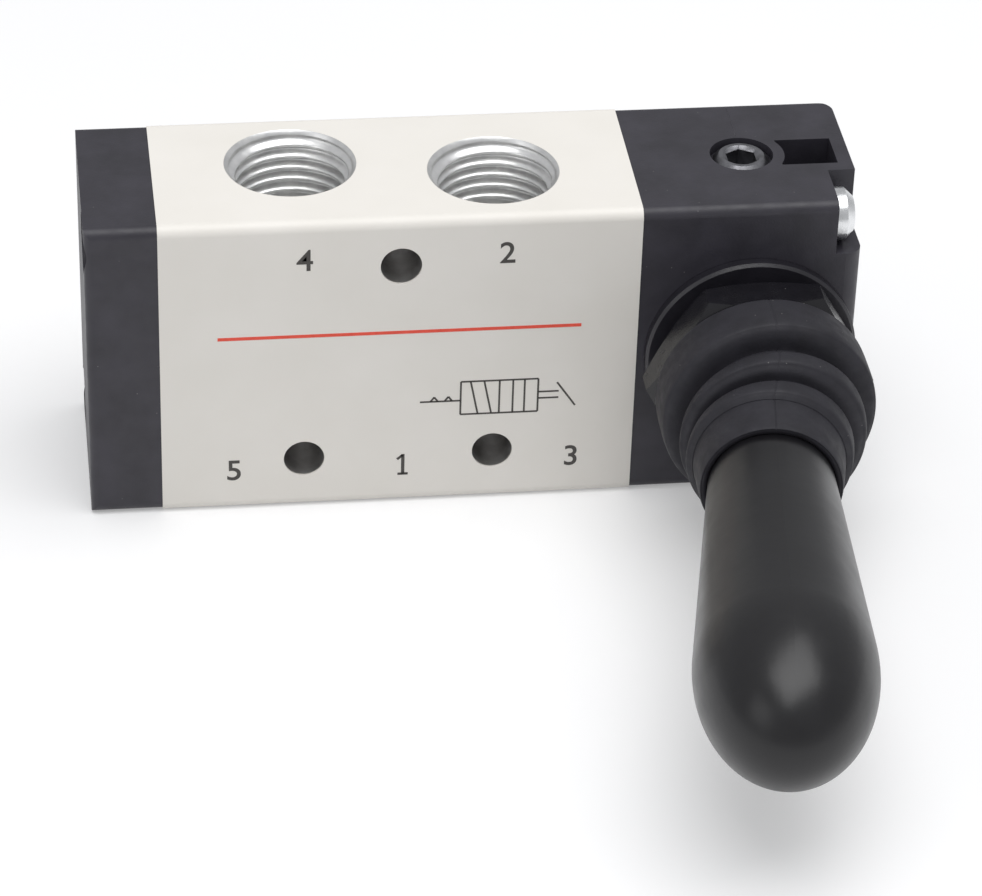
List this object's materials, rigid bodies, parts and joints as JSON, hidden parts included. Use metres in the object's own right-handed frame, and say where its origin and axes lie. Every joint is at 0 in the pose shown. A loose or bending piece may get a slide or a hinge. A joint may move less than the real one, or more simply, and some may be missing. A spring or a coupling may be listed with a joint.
{
  "type": "hand lever air valve",
  "caption": "Hand lever air valve: a painted block body with threaded ports, an end cap, and a lever in a rubber boot that shifts a spool between detents.",
  "frame": {"origin": "centre of the supply port's mouth, in the middle of the valve body's bottom face", "axes": "+X along the spool from the end cap to the lever housing, -Y the way the lever points, +Z from the supply port's face to the outlet ports' face"},
  "size_m": [0.0815, 0.0917, 0.035],
  "materials": {
    "body_paint": "satin white coating on extruded aluminium, ports left bare",
    "housing_plastic": "fine-grained black moulded plastic",
    "seal_rubber": "nitrile seal rubber",
    "plated_steel": "bright zinc plating",
    "bare_aluminium": "turned, uncoated",
    "yoke_brass": "turned",
    "spring_steel": "ground",
    "black_steel": "black oxide",
    "bush_black": "black coating, satin",
    "nut_black": "black, satin",
    "insert_brass": "turned",
    "handle_plastic": "black, satin gloss",
    "boot_rubber": "matte black"
  },
  "bodies": {
    "valve": {"valve_body": "body_paint", "end_cap": "housing_plastic", "end_cap_seal": "seal_rubber", "end_cap_screws": "plated_steel", "lever_housing": "housing_plastic", "housing_seal": "seal_rubber", "housing_screws": "plated_steel", "detent_ball": "spring_steel", "detent_spring": "spring_steel", "detent_screw": "black_steel", "lever_bush": "bush_black", "panel_nut": "nut_black", "pivot_pin": "spring_steel", "rubber_boot": "boot_rubber"},
    "lever": {"lever_rod": "plated_steel", "handle_insert": "insert_brass", "lever_handle": "handle_plastic"},
    "shuttle": {"spool": "bare_aluminium", "spool_seals": "seal_rubber", "spool_yoke": "yoke_brass", "yoke_pin": "spring_steel"}
  },
  "joints": [
    {"name": "lever_swing", "type": "hinge", "parent": "valve", "child": "lever", "pos_m": [0.037, -0.0205, 0.0175], "axis": [0, 0, 1], "range_deg": [0, 15], "deforming": ["rubber_boot"]},
    {"name": "spool_slide", "type": "slide", "parent": "valve", "child": "shuttle", "axis": [-1, 0, 0], "range_m": [0, 0.00536]}
  ],
  "couplings": [
    {"joint": "spool_slide", "follows": "lever_swing", "m_per_rad": 0.020442}
  ]
}
